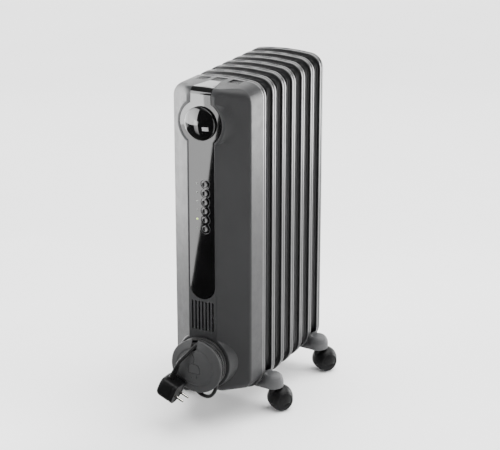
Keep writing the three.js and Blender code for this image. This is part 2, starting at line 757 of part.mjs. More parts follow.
// A round bar bent over the lower oil tube; the foot hangs from its two legs.
function uBolt(name, gapIndex) {
  const y = footY(gapIndex);
  const points = [[-U_BOLT_X, y, 36]];
  for (let z = 44; z < LOWER_TUBE_Z; z += 18) points.push([-U_BOLT_X, y, z]);
  for (let i = 0; i <= 6; i++) {
    const angle = Math.PI - (i * Math.PI) / 6;
    points.push([U_BOLT_X * Math.cos(angle), y, LOWER_TUBE_Z + U_BOLT_X * Math.sin(angle)]);
  }
  const down = points.slice(0, 4).reverse();
  points.push(...down.map(([x, py, z]) => [-x, py, z]));
  return node(name, tubeAlong(points, U_BOLT_R, 4, 24), steel());
}

function wingNut(name, x, y) {
  const nut = barZ(6, x, y, 40.5, 49.2, 12);
  const wings = box(x - 13, x + 13, y - 1.2, y + 1.2, 41, 47);
  const hole = barZ(U_BOLT_R + GAP, x, y, 30, 60, 10);
  return node(name, cut(union(nut, wings), hole), steel());
}

// Half of a twin wheel about its axle, from the middle outwards: [radius, distance out].
const WHEEL_PROFILE = [
  [WHEEL_R - 1, 2.1],
  [WHEEL_R, 2.8],
  [WHEEL_R, 5.6],
  [WHEEL_R - 1.2, 9],
  [WHEEL_R - 4.2, 13.8],
  [WHEEL_R - 9.4, 18.4],
];

// A castor in its own frame: the origin is on the stem's axis at floor level.
function castor(place) {
  const group = new THREE.Group();
  group.position.set(place.x, place.y, 0);
  const centre = [place.side * TRAIL.x, TRAIL.y];
  const heading = Math.atan2(centre[1], centre[0]);
  const ball = (radius) => {
    const made = new THREE.SphereGeometry(radius, 14, 8).rotateX(Math.PI / 2);
    return solid(made.translate(...centre, BALL_Z));
  };
  // A profile turned about the axle; a flat facet of it faces the floor.
  const onAxle = (profile, side, segments) => {
    const points = profile.map(([r, y]) => new THREE.Vector2(r, y));
    const turned = new THREE.LatheGeometry(points, segments, Math.PI / segments);
    if (side < 0) turned.rotateX(Math.PI);
    return solid(turned.rotateZ(heading).translate(...centre, WHEEL_Z));
  };
  const grow = (by) => WHEEL_PROFILE.map(([r, y]) => [r + by, y + by * Math.sign(y - 3)]);
  const bay = [[0, 1.7], ...grow(0.7), [4, 30], [0, 30]];
  const rib = ball(BALL_R - 1).intersect(onAxle([[0, -1.4], [40, -1.4], [40, 1.4], [0, 1.4]], 1, 8));
  const outline = union(
    cut(ball(BALL_R), box(-FAR, FAR, -FAR, FAR, -FAR, HOOD_LOW_Z)),
    cut(rib, box(-FAR, FAR, -FAR, FAR, -FAR, RIB_LOW_Z)),
    barZ(STEM_R, 0, 0, BALL_Z, STEM_TOP_Z),
    barZ(COLLAR_R, 0, 0, BALL_Z, FOOT_UNDERSIDE_Z - 0.6),
  );
  const axleBore = onAxle([[0, -30], [AXLE_R + GAP, -30], [AXLE_R + GAP, 30], [0, 30]], 1, 12);
  const hood = cut(outline, onAxle(bay, 1, 16), onAxle(bay, -1, 16), axleBore);
  const disc = [[0, 2.1], ...WHEEL_PROFILE, [0, 19.6]];
  const axle = onAxle([[0, -4], [AXLE_R, -4], [AXLE_R, 14], [0, 14]], 1, 12);
  const socket = onAxle([[0, 0], [AXLE_R + GAP, 0], [AXLE_R + GAP, 14.5], [0, 14.5]], 1, 12);
  const outer = cut(onAxle(disc, 1, WHEEL_FACETS), socket);
  const inner = union(onAxle(disc, -1, WHEEL_FACETS), axle);
  const name = `castor_${place.name}`;
  group.add(node(`${name}_hood`, hood, blackPlastic()));
  group.add(node(`${name}_wheel_a`, outer, blackPlastic()));
  group.add(node(`${name}_wheel_b`, inner, blackPlastic()));
  return group;
}

// ---- Assembly -----------------------------------------------------------
function heater() {
  const group = new THREE.Group();
  for (let i = 0; i < FIN_COUNT; i++) group.add(fin(i));
  group.add(
    tube("upper_manifold", UPPER_TUBE_R, UPPER_TUBE_Z, 0.5, STACK_END - 0.5),
    tube("lower_manifold", LOWER_TUBE_R, LOWER_TUBE_Z, -4.5, STACK_END - 0.5),
    tubePlug("upper_front_plug", UPPER_TUBE_R, UPPER_TUBE_Z, 0.5, -1),
    tubePlug("oil_filler_plug", UPPER_TUBE_R, UPPER_TUBE_Z, STACK_END - 0.5, 1),
    tubePlug("lower_rear_plug", LOWER_TUBE_R, LOWER_TUBE_Z, STACK_END - 0.5, 1),
    elementFlange(),
    heatingElement(),
    frontCover(),
    fasciaPanel(),
    backPlate(),
    thermostatBody(),
    thermostatKnob(),
    controlBoard(),
    lightGuide(),
    terminalBlock(),
    tipOverSwitch(),
    thermalCutout(),
  );
  for (let i = 0; i < BUTTON_COUNT; i++) group.add(pushButton(i));
  group.add(cordHub(), cordGland(), cordCoil(), cordTail(), cordDisc(), plug());
  for (const [end, gapIndex] of Object.entries(FOOT_GAPS)) {
    const y = footY(gapIndex);
    group.add(footBracket(`${end}_foot_bracket`, gapIndex), uBolt(`${end}_u_bolt`, gapIndex));
    group.add(wingNut(`${end}_wing_nut_left`, -U_BOLT_X, y));
    group.add(wingNut(`${end}_wing_nut_right`, U_BOLT_X, y));
  }
  for (const place of castorPlaces()) group.add(castor(place));
  group.position.y = SEAM_Y;
  return group;
}

export default heater();
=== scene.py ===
"""Looks of the oil filled radiator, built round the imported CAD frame.

Shapes are written in millimetres from the seam between the cover and the first fin, with the
cover towards -Y, and place() turns them into the frame's metres.
"""
import math

import bmesh
import bpy
from mathutils import Matrix, Vector


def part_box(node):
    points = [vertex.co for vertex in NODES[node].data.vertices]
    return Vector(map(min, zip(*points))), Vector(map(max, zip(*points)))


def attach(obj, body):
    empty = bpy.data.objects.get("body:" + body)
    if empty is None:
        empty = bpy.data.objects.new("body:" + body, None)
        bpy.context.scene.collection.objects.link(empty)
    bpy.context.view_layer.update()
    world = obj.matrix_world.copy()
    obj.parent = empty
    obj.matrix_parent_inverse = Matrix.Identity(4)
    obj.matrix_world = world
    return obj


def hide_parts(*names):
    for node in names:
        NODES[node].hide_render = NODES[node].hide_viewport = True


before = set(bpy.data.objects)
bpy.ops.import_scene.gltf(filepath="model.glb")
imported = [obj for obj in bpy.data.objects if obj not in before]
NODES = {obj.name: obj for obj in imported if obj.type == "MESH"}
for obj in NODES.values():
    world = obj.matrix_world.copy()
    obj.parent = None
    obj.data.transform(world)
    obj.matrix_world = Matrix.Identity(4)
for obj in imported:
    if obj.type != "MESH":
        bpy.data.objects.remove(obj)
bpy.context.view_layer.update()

MM = 0.001
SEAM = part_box("fin_1")[0].y
ROOT = "heater"

# ---- Driving dimensions, millimetres ------------------------------------
FIN_COUNT = 7
FIN_PITCH = 40.6
FIN_DEPTH = 14.4
HALF_WIDTH = 77.5
TOP_R = 28.0
TOP_CENTRE_Z = 610.8
CROWN_SLOPE = 0.129  # slope of the top edge where it meets a corner
FIN_LOW_Z = 49.0
LOW_R = 37.5
COVER_DEPTH = 86.0
SIDE_DEPTH = 45.6
STRIP_HALF = 28.0
COVER_LOW_Z = 71.0
EDGE_R = 12.0
WALL = 2.6
KNOB_Z = 579.0
KNOB_R = 30.5
DRUM_Z = 127.5
HUB_R = 35.2
DISC_R = 51.4
BUTTONS = 6
BUTTON_PITCH = 16.65
BUTTON_TOP_Z = 468.7
BUTTON_X = 7.5
LED_X = -8.7
FASCIA_HALF = 25.5
FASCIA_BULGE = 41.5
FASCIA_LOW_Z = 275.5
NECK_HALF = 20.5
TONGUE_HALF = 20.0
TONGUE_END_HALF = 11.0
TONGUE_END_Y = -31
TOP_Z = 642.0
TOP_FALL = 0.00121  # how far the crowned top falls, times x squared
EDGE_CENTRE_Z = TOP_Z - EDGE_R
TOP_PATTERN_PITCH = 33  # of the cover's vent pockets and the fins' pressed slots
SLOT_LOW_Z = 634
SLOT_HALF, SLOT_RAMP = 10.5, 2.5
FRONT_VENTS = 7
FRONT_VENT_PITCH = 6.93
FRONT_VENT_R = 1.55
FRONT_VENT_CENTRES_Z = (190.3, 244.1)  # of the slots' round ends
CORD_D = 7.2
UPPER_TUBE = (590.0, 12.0)
LOWER_TUBE = (98.0, 15.0)
FOOT_GAPS = {"front": 0, "rear": FIN_COUNT - 2}
FOOT_X = 87.0
FOOT_Z = 58.6
FOOT_UNDER_Z = 49.6
TRAIL = (9.0, 12.0)
BALL_R = 24.6
BALL_Z = 24.0
WHEEL_R = 21.4
WHEEL_Z = WHEEL_R * math.cos(math.pi / 20)
STACK_END = (FIN_COUNT - 1) * FIN_PITCH + FIN_DEPTH
LIT_LAMP = 4

# ---- Camera -------------------------------------------------------------
CAMERA_AZIMUTH = 26.83
CAMERA_ELEVATION = 19.3
CAMERA_DISTANCE = 3.0966  # metres
CAMERA_LENS = 118.34
CAMERA_AIM = (1.85, 100.0, 333.8)


def place(point):
    """A point in millimetres from the seam, in the frame's metres."""
    x, y, z = point
    return Vector((x * MM, SEAM + y * MM, z * MM))


# ---- Camera and light ---------------------------------------------------
def make_camera():
    azimuth, elevation = math.radians(CAMERA_AZIMUTH), math.radians(CAMERA_ELEVATION)
    back = Vector((
        math.sin(azimuth) * math.cos(elevation),
        -math.cos(azimuth) * math.cos(elevation),
        math.sin(elevation),
    ))
    data = bpy.data.cameras.new("camera")
    data.sensor_width = 36
    data.lens = CAMERA_LENS
    camera = bpy.data.objects.new("camera", data)
    camera.location = place(CAMERA_AIM) + back * CAMERA_DISTANCE
    camera.rotation_mode = "QUATERNION"
    camera.rotation_quaternion = (-back).to_track_quat("-Z", "Y")
    data.clip_end = 50
    bpy.context.scene.collection.objects.link(camera)
    bpy.context.scene.camera = camera


# ---- Mesh tools ---------------------------------------------------------
def mesh_object(name, points, faces, sharp=35):
    """A mesh piece from points in millimetres; edges steeper than sharp degrees stay crisp."""
    data = bpy.data.meshes.new(name)
    data.from_pydata([place(p) for p in points], [], faces)
    made = bpy.data.objects.new(name, data)
    bpy.context.scene.collection.objects.link(made)
    tidy_mesh(made, sharp)
    return made


def tidy_mesh(made, sharp=35):
    """Merges doubled points, turns all faces outwards and marks the crisp edges."""
    work = bmesh.new()
    work.from_mesh(made.data)
    bmesh.ops.remove_doubles(work, verts=work.verts, dist=1e-6)
    bmesh.ops.recalc_face_normals(work, faces=work.faces)
    work.to_mesh(made.data)
    work.free()
    made.data.shade_smooth()
    made.data.set_sharp_from_angle(angle=math.radians(sharp))


def loft(name, rings, closed=False, sharp=35):
    """A skin over rings of equal length; open ends are filled flat."""
    count = len(rings[0])
    points = [p for ring in rings for p in ring]
    faces = []
    last = len(rings) if closed else len(rings) - 1
    for i in range(last):
        a, b = i * count, (i + 1) % len(rings) * count
        for j in range(count):
            k = (j + 1) % count
            faces.append((a + j, a + k, b + k, b + j))
    if not closed:
        faces.append(tuple(range(count - 1, -1, -1)))
        faces.append(tuple(range((len(rings) - 1) * count, len(rings) * count)))
    return mesh_object(name, points, faces, sharp)


def turned(name, profile, centre, axis="Y", steps=64, sharp=35, heading=None):
    """A solid of revolution. profile is (radius, distance along the axis) pairs."""
    rings = []
    for radius, along in profile:
        ring = []
        for i in range(steps):
            angle = 2 * math.pi * i / steps
            u, v = max(radius, 0.001) * math.cos(angle), max(radius, 0.001) * math.sin(angle)
            if axis == "Y":
                ring.append((centre[0] + u, centre[1] + along, centre[2] + v))
            elif axis == "Z":
                ring.append((centre[0] + u, centre[1] + v, centre[2] + along))
            else:
                c, s = math.cos(heading), math.sin(heading)
                ring.append((centre[0] + c * u - s * along, centre[1] + s * u + c * along, centre[2] + v))
        rings.append(ring)
    return loft(name, rings, sharp=sharp)


def block(name, low, high):
    (x0, y0, z0), (x1, y1, z1) = low, high
    ring = [(x0, z0), (x1, z0), (x1, z1), (x0, z1)]
    return loft(name, [[(x, y, z) for x, z in ring] for y in (y0, y1)])


def settle(made):
    """Makes a piece's modifiers part of its mesh."""
    shown = made.evaluated_get(bpy.context.evaluated_depsgraph_get())
    data = bpy.data.meshes.new_from_object(shown)
    made.modifiers.clear()
    old = made.data
    made.data = data
    bpy.data.meshes.remove(old)
    data.name = made.name


def carve(made, others, how="DIFFERENCE"):
    """Joins or cuts a piece with others, which are used up."""
    for other in others:
        step = made.modifiers.new("carve", "BOOLEAN")
        step.operation = how
        step.solver = "EXACT"
        step.object = other
    settle(made)
    for other in others:
        data = other.data
        bpy.data.objects.remove(other)
        bpy.data.meshes.remove(data)
    tidy_mesh(made)


def bevel(made, width, segments=2, angle=40):
    step = made.modifiers.new("bevel", "BEVEL")
    step.width = width * MM
    step.segments = segments
    step.limit_method = "ANGLE"
    step.angle_limit = math.radians(angle)
    step.harden_normals = False
    settle(made)
    tidy_mesh(made)


def soften(made, voxel, passes):
    """Melts joined solids into one moulding with small fillets."""
    step = made.modifiers.new("melt", "REMESH")
    step.mode = "VOXEL"
    step.voxel_size = voxel * MM
    smooth = made.modifiers.new("smooth", "SMOOTH")
    smooth.iterations = passes
    smooth.factor = 0.5
    settle(made)
    tidy_mesh(made, 80)


def finish_piece(made, material, slot, body, *nodes):
    shading = made.modifiers.new("flat_faces_shade_flat", "WEIGHTED_NORMAL")
    shading.keep_sharp = True
    shading.weight = 100
    settle(made)
    made.data.materials.clear()
    made.data.materials.append(material)
    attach(made, body)
    if nodes:
        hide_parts(*nodes)
    return made


# ---- Materials ----------------------------------------------------------
def shader(name, color, roughness, metallic=0.0, coat=0.0, specular=0.5):
    material = bpy.data.materials.new(name)
    material.use_nodes = True
    tree = material.node_tree
    principled = tree.nodes["Principled BSDF"]
    principled.inputs["Base Color"].default_value = (*color, 1)
    principled.inputs["Roughness"].default_value = roughness
    principled.inputs["Metallic"].default_value = metallic
    principled.inputs["Coat Weight"].default_value = coat
    principled.inputs["Coat Roughness"].default_value = 0.08
    principled.inputs["Specular IOR Level"].default_value = specular
    return material, tree, principled


def noise(tree, scale, detail=3, roughness=0.5):
    place_node = tree.nodes.new("ShaderNodeTexCoord")
    made = tree.nodes.new("ShaderNodeTexNoise")
    made.inputs["Scale"].default_value = scale
    made.inputs["Detail"].default_value = detail
    made.inputs["Roughness"].default_value = roughness
    tree.links.new(place_node.outputs["Object"], made.inputs["Vector"])
    return made


def tint(tree, principled, source, dark, light):
    """Colour that varies between two tones with a noise."""
    ramp = tree.nodes.new("ShaderNodeValToRGB")
    ramp.color_ramp.elements[0].position = 0.3
    ramp.color_ramp.elements[1].position = 0.7
    ramp.color_ramp.elements[0].color = (*dark, 1)
    ramp.color_ramp.elements[1].color = (*light, 1)
    tree.links.new(source.outputs["Fac"], ramp.inputs["Fac"])
    tree.links.new(ramp.outputs["Color"], principled.inputs["Base Color"])


def vary_roughness(tree, principled, source, low, high):
    span = tree.nodes.new("ShaderNodeMapRange")
    span.inputs["From Min"].default_value = 0.3
    span.inputs["From Max"].default_value = 0.7
    span.inputs["To Min"].default_value = low
    span.inputs["To Max"].default_value = high
    tree.links.new(source.outputs["Fac"], span.inputs["Value"])
    tree.links.new(span.outputs["Result"], principled.inputs["Roughness"])


def grain(tree, principled, scale, strength, distance=0.0002, detail=2):
    source = noise(tree, scale, detail, 0.6)
    bump = tree.nodes.new("ShaderNodeBump")
    bump.inputs["Strength"].default_value = strength
    bump.inputs["Distance"].default_value = distance
    tree.links.new(source.outputs["Fac"], bump.inputs["Height"])
    tree.links.new(bump.outputs["Normal"], principled.inputs["Normal"])


def toned(
    name, color, spread, roughness, metallic=0.0, coat=0.0, grain_scale=1500, strength=0.15, specular=0.5
):
    """A moulded or painted surface: two close tones, uneven gloss and a fine grain."""
    material, tree, principled = shader(name, color, roughness[0], metallic, coat, specular)
    dark = tuple(c * (1 - spread) for c in color)
    light = tuple(c * (1 + spread) for c in color)
    tint(tree, principled, noise(tree, 14, 4), dark, light)
    vary_roughness(tree, principled, noise(tree, 60, 5, 0.6), *roughness)
    grain(tree, principled, grain_scale, strength)
    return material


def make_materials():
    return {
        "fins": toned("fin_paint", (0.015, 0.0152, 0.0158), 0.08, (0.28, 0.38), 0.0, 0.0, 900, 0.1, 0.55),
        "cover": toned("cover_plastic", (0.017, 0.0172, 0.0178), 0.05, (0.36, 0.46), 0, 0, 2600, 0.22, 0.14),
        "winder": toned(
            "winder_plastic", (0.026, 0.0263, 0.027), 0.05, (0.42, 0.52), 0, 0, 2600, 0.22, 0.25
        ),
        "feet": toned("foot_plastic", (0.045, 0.0455, 0.047), 0.06, (0.5, 0.6), 0, 0, 2400, 0.25, 0.4),
        "gloss": toned("gloss_black", (0.0012, 0.0012, 0.0013), 0.2, (0.03, 0.05), 0, 0.0, 300, 0.004, 0.45),
        "button": toned("button_gloss", (0.003, 0.003, 0.0032), 0.2, (0.12, 0.2), 0, 0.0, 900, 0.02, 0.5),
        "black": toned("black_plastic", (0.004, 0.004, 0.0042), 0.15, (0.32, 0.42), 0, 0, 2200, 0.15, 0.1),
        "tyre": toned("castor_wheel", (0.004, 0.004, 0.0042), 0.2, (0.32, 0.44), 0, 0, 1800, 0.15, 0.1),
        "cord": toned("cord_jacket", (0.004, 0.004, 0.0042), 0.2, (0.38, 0.5), 0, 0, 3000, 0.2, 0.25),
        "steel": toned("zinc_steel", (0.17, 0.173, 0.179), 0.12, (0.3, 0.42), 1.0, 0, 700, 0.15),
        "nickel": toned("nickel_plate", (0.6, 0.59, 0.56), 0.06, (0.14, 0.24), 1.0, 0, 500, 0.05),
        "inner": toned("inner_plastic", (0.3, 0.29, 0.26), 0.05, (0.5, 0.6), 0, 0, 1200, 0.1),
        "board": toned("solder_mask", (0.01, 0.06, 0.02), 0.15, (0.3, 0.42), 0, 0.3, 500, 0.1),
        "rim": toned("button_rim", (0.05, 0.05, 0.052), 0.05, (0.2, 0.3), 0.0, 0.0, 1500, 0.05),
        # painted reflection: light grey for the patch on the knob that stands in for a small square light's
        # reflection
        "painted_reflection": toned("silver_painted_reflection", (0.2, 0.2, 0.205), 0.05, (0.3, 0.4), 0.2, 0.1, 1500, 0.05),
        "lamp_off": toned("lamp_off", (0.09, 0.1, 0.09), 0.1, (0.2, 0.3), 0, 0.5, 900, 0.05),
    }


def lamp_lit():
    material, tree, principled = shader("lamp_lit", (0.55, 0.75, 0.12), 0.3)
    tint(tree, principled, noise(tree, 800, 2), (0.4, 0.65, 0.08), (0.7, 0.85, 0.2))
    principled.inputs["Emission Color"].default_value = (0.6, 0.85, 0.15, 1)
    principled.inputs["Emission Strength"].default_value = 0.9
    return material


# ---- Outlines -----------------------------------------------------------
def arc(cx, cz, radius, start, end, steps):
    out = []
    for i in range(steps + 1):
        a = math.radians(start + (end - start) * i / steps)
        out.append((cx + radius * math.cos(a), cz + radius * math.sin(a)))
    return out


def rounded_outline(half, low_z, low_r, top_r, drop=0.0, low_steps=10, top_steps=12, crown_steps=36):
    """Right and left sides, rounded corners and a gently crowned top, as (x, z) points."""
    base = math.atan(CROWN_SLOPE)
    reach = HALF_WIDTH - TOP_R + TOP_R * math.sin(base)
    fall = CROWN_SLOPE / (2 * reach)
    crown = TOP_CENTRE_Z + TOP_R * math.cos(base) + fall * reach * reach - drop
    lean = base
    for _ in range(4):
        lean = math.atan(2 * fall * (half - top_r + top_r * math.sin(lean)))
    end_x = half - top_r + top_r * math.sin(lean)
    centre_z = crown - fall * end_x * end_x - top_r * math.cos(lean)
    right = arc(half - low_r, low_z + low_r, low_r, -90, 0, low_steps)
    right += arc(half - top_r, centre_z, top_r, 0, 90 - math.degrees(lean), top_steps)
    top = []
    for i in range(1, crown_steps):
        x = end_x * (1 - 2 * i / crown_steps)
        top.append((x, crown - fall * x * x))
    left = [(-x, z) for x, z in reversed(right)]
    return right + top + left


def fin_outline(inset):
    return rounded_outline(
        HALF_WIDTH - inset,
        FIN_LOW_Z + inset,
        max(LOW_R - inset, 2),
        max(TOP_R - inset, 2),
        inset,
    )


# ---- Fins and tubes -----------------------------------------------------
def slot_depth(x, z):
    """Depth of the pressed slots in a fin's top edge: 1 in a slot, 0 between them."""
    if z < SLOT_LOW_Z:
        return 0.0
    near = min(abs(x - k * TOP_PATTERN_PITCH) for k in (-1, 0, 1))
    return max(0.0, min(1.0, (SLOT_HALF - near) / SLOT_RAMP))


# From the middle of the front face, over the rim, to its seam: (inset, y from the front).
FIN_HALF_PROFILE = [
    (30, 2.7), (27, 2.6), (25, 1.8), (14, 1.7), (12.2, 2.1), (10.6, 3.6), (9.4, 5.5), (8.4, 6.1),
    (7.4, 6.3), (3.0, 6.3), (2.3, 5.9), (2.0, 5.2), (1.9, 1.2), (1.6, 0.4), (1.1, 0.0), (0.6, 0.1),
    (0.2, 0.6), (0.0, 1.6), (0.0, 3.4), (0.1, 4.9), (0.45, 6.0), (0.95, 6.6), (1.1, 7.0),
]


def fin(index, material):
    front = index * FIN_PITCH
    half = FIN_HALF_PROFILE
    whole = half + [(inset, FIN_DEPTH - y) for inset, y in reversed(half)]
    rings = []
    for inset, y in whole:
        on_edge = inset < 1.2 and 4.0 < y < FIN_DEPTH - 4.0
        ring = []
        for x, z in fin_outline(inset):
            sink = 1.4 * slot_depth(x, z) if on_edge else 0.0
            ring.append((x, front + y, z - sink))
        rings.append(ring)
    made = loft(f"fin_{index + 1}_skin", rings, sharp=50)
    finish_piece(made, material, "fins", ROOT, f"fin_{index + 1}")


def oil_tube(name, z, radius, node, material, first=0.5):
    """A tube with a weld collar at each face of each fin."""
    profile = [(radius - 1.5, first), (radius, first)]
    for i in range(FIN_COUNT - 1):
        leave = i * FIN_PITCH + 13.0
        enter = (i + 1) * FIN_PITCH + 1.4
        profile += [(radius, leave - 1), (radius + 2.2, leave - 0.6), (radius + 2.4, leave + 1.4)]
        profile += [(radius + 0.6, leave + 3.2), (radius, leave + 4.4)]
        profile += [(radius, enter - 4.4), (radius + 0.6, enter - 3.2), (radius + 2.4, enter - 1.4)]
        profile += [(radius + 2.2, enter + 0.6), (radius, enter + 1)]
    profile += [(radius, STACK_END - 0.5), (radius - 1.5, STACK_END - 0.5)]
    made = turned(name, profile, (0, 0, z), steps=40)
    finish_piece(made, material, "tubes", ROOT, node)


# ---- Cover --------------------------------------------------------------
def cover_stations(inset):
    """(half width, y, drop of the top, rise of the bottom) from the seam to the strip."""
    along = Vector((-(HALF_WIDTH - STRIP_HALF), -(COVER_DEPTH - SIDE_DEPTH))).normalized()
    turn = math.atan2(-along.x, -along.y)
    stations = [(HALF_WIDTH, 0.0), (HALF_WIDTH, -1.0), (HALF_WIDTH, -20.0)]
    side_r = 9.0
    side_cut = side_r * math.tan(turn / 2)
    for i in range(9):
        a = turn * i / 8
        stations.append((
            HALF_WIDTH - side_r + side_r * math.cos(a),
            -SIDE_DEPTH + side_cut - side_r * math.sin(a),
        ))
    strip_r = 4.0
    strip_cut = strip_r * math.tan((math.pi / 2 - turn) / 2)
    start = Vector(stations[-1])
    end = Vector((STRIP_HALF, -COVER_DEPTH)) - along * strip_cut
    for i in range(1, 12):
        stations.append(tuple(start.lerp(end, i / 12)))
    for i in range(7):
        a = turn + (math.pi / 2 - turn) * i / 6
        stations.append((
            STRIP_HALF - strip_cut + strip_r * math.cos(a),
            -COVER_DEPTH + strip_r - strip_r * math.sin(a),
        ))
    out = []
    for half, y in stations:
        deep = max(0.0, -y - (COVER_DEPTH - EDGE_R))
        drop = EDGE_R - math.sqrt(max(EDGE_R**2 - deep**2, 0))
        out.append((half - inset, min(y + inset, 0.0) if inset else y, drop + inset))
    return out


def cover_block(name, inset, back=-0.3):
    rings = []
    for half, y, drop in cover_stations(inset):
        share = max(0.0, (half - STRIP_HALF) / (HALF_WIDTH - STRIP_HALF))
        top_r = 9 + (TOP_R - 9 - inset) * share
        low_r = 6 + (15 - 6 - inset) * share
        outline = rounded_outline(half, COVER_LOW_Z + drop, low_r, top_r, drop)
        rings.append([(x, min(y, back), z) for x, z in outline])
    if inset:
        rings.insert(0, [(x, 10.0, z) for x, _, z in rings[0]])
    return loft(name, rings)


def boss(name, front_r, z, lip=2.0):
    profile = [
        (0, -50), (59, -50), (59.2, -60), (front_r + 1.6, -COVER_DEPTH + 3),
        (front_r + 0.5, -COVER_DEPTH + 0.8), (front_r - lip, -COVER_DEPTH), (0, -COVER_DEPTH),
    ]
    return turned(name, profile, (0, 0, z), steps=96)


def fascia_outline(grow, steps=14):
    """The glossy panel seen from the front, as (x, z) points, up to the top edge."""
    half = FASCIA_HALF + grow
    bulge = FASCIA_BULGE + grow
    neck = NECK_HALF + grow
    low = math.degrees(math.asin(half / bulge)) - 90
    high = 90 - math.degrees(math.asin(neck / bulge))
    right = arc(0, FASCIA_LOW_Z, half, -90, 0, 12)
    right += arc(0, KNOB_Z, bulge, low, high, steps * 2)
    right.append((neck - 0.5, 631))
    left = [(-x, z) for x, z in reversed(right[1:])]
    return right + left


def tongue_half(y):
    """Half width of the tongue on top, from its rear end to the front edge."""
    share = (TONGUE_END_Y - y) / (COVER_DEPTH + TONGUE_END_Y - EDGE_R)
    return TONGUE_END_HALF + (TONGUE_HALF - TONGUE_END_HALF) * share


def top_z(x=0.0):
    return TOP_Z - TOP_FALL * x * x


def fascia(name, lift, thickness, grow=0.0):
    """The panel's slab on the strip, and its tongue bent over the top edge."""
    outline = fascia_outline(grow)
    front = -COVER_DEPTH - lift
    rim = 0.8
    inner = fascia_outline(grow - rim)
    rings = [
        [(x, front + thickness, z) for x, z in outline],
        [(x, front + rim, z) for x, z in outline],
        [(x, front + 0.25, z) for x, z in fascia_outline(grow - 0.25)],
        [(x, front, z) for x, z in inner],
    ]
    slab = loft(name, rings)
    columns, rows = 8, []
    edge_y = -COVER_DEPTH + EDGE_R
    path = [(front, EDGE_CENTRE_Z - 0.5)]
    for i in range(9):
        a = math.pi / 2 * i / 8
        radius = EDGE_R + lift
        path.append((edge_y - radius * math.cos(a), EDGE_CENTRE_Z + radius * math.sin(a)))
    for i in range(1, 7):
        path.append((edge_y + i * (TONGUE_END_Y - edge_y) / 6, TOP_Z + lift))
    for y, z in path:
        half = (TONGUE_HALF if y < edge_y else tongue_half(y)) + grow
        rows.append([(half * (1 - 2 * k / columns), y, z) for k in range(columns + 1)])
    rings = []
    for index, row in enumerate(rows):
        y, z = path[index]
        inward = Vector((0, edge_y - y, EDGE_CENTRE_Z - z))
        if y >= edge_y:
            inward = Vector((0, 0, -1))
        inward.normalize()
        lower = [(p[0], p[1] + inward.y * thickness, p[2] + inward.z * thickness) for p in row]
        fall = TOP_FALL if index > 8 else 0
        edge = [(p[0], p[1], p[2] - fall * p[0] ** 2) for p in row]
        rings.append(edge + lower[::-1])
    tongue = loft(name + "_tongue", rings)
    carve(slab, [tongue], "UNION")
    return slab


def front_vents(y0, y1):
    cutters = []
    low, high = FRONT_VENT_CENTRES_Z
    for k in range(FRONT_VENTS):
        x = FRONT_VENT_PITCH * (k - (FRONT_VENTS - 1) / 2)
        ring = arc(x, high, FRONT_VENT_R, 0, 180, 8) + arc(x, low, FRONT_VENT_R, 180, 360, 8)
        cutters.append(loft(f"vent_{k}", [[(px, y, pz) for px, pz in ring] for y in (y0, y1)]))
    return cutters


def top_vents():
    """Three shallow pockets in the cover's top, each with a slotted floor."""
    pockets, slots = [], []
    for k in (-1, 0, 1):
        x = TOP_PATTERN_PITCH * k
        base = top_z(x)
        pockets.append(block(f"pocket_{k}", (x - 11.5, -26, base - 1.2), (x + 11.5, -4, base + 5)))
        for row in range(5):
            y = -24.6 + row * 4.1
            slots.append(block(f"slot_{k}_{row}", (x - 10, y, base - 8), (x + 10, y + 1.3, base + 5)))
    return pockets + slots


def button_recess(y0, y1):
    """A scalloped recess that rounds each button."""
    cutters = []
    for i in range(BUTTONS):
        z = BUTTON_TOP_Z - i * BUTTON_PITCH
        profile = [(0, y0), (8.8, y0), (8.8, y1 - 0.5), (8.3, y1), (0, y1)]
        cutters.append(turned(f"scallop_{i}", profile, (BUTTON_X, 0, z), steps=48))
    return cutters


def scallop_rim():
    """A thin raised bead round the column of buttons, one scallop for each."""
    reach, swing, front = 9.3, 58, -COVER_DEPTH - 0.2
    points = []
    for i in range(BUTTONS):
        z = BUTTON_TOP_Z - i * BUTTON_PITCH
        top = 90 if i == 0 else swing
        low = 90 if i == BUTTONS - 1 else swing
        points += arc(BUTTON_X, z, reach, top, -low, 16)
    for i in reversed(range(BUTTONS)):
        z = BUTTON_TOP_Z - i * BUTTON_PITCH
        top = 86 if i == 0 else swing
        low = 86 if i == BUTTONS - 1 else swing
        points += arc(BUTTON_X, z, reach, 180 + low, 180 - top, 16)
    rings = []
    for i, (x, z) in enumerate(points):
        along = Vector(points[(i + 1) % len(points)]) - Vector(points[i - 1])
        side = Vector((-along.y, along.x)).normalized()
        ring = []
        for k in range(8):
            a = 2 * math.pi * k / 8
            u, v = 0.35 * math.cos(a), 0.35 * math.sin(a)
            ring.append((x + side.x * u, front + v, z + side.y * u))
        rings.append(ring)
    return loft("scallop_rim", rings, True)


def make_cover(materials):
    cover = cover_block("front_cover_skin", 0.0)
    carve(cover, [boss("knob_boss", 46, KNOB_Z), boss("drum_boss", 53, DRUM_Z)], "UNION")
    hollow = cover_block("hollow", WALL)
    bed = fascia("bed", 1.5, 2.9, 0.25)
    carve(cover, [hollow, bed, *front_vents(-95, -70), *top_vents()])
    bevel(cover, 0.35, 2, 45)
    finish_piece(cover, materials["cover"], "cover", ROOT, "front_cover")

    panel = fascia("fascia_skin", 0.35, 1.6)
    lamps = []
    for i in range(BUTTONS):
        z = BUTTON_TOP_Z - i * BUTTON_PITCH
        hole = [(0, -90), (1.9, -90), (1.9, -80), (0, -80)]
        lamps.append(turned(f"lamp_hole_{i}", hole, (LED_X, 0, z), steps=24))
    shaft = turned("shaft_hole", [(0, -90), (5, -90), (5, -80), (0, -80)], (0, 0, KNOB_Z))
    carve(panel, [*button_recess(-90, -85.35), *lamps, shaft])
    finish_piece(panel, materials["gloss"], "fascia", ROOT, "fascia_panel")
    finish_piece(scallop_rim(), materials["rim"], "fascia", ROOT)


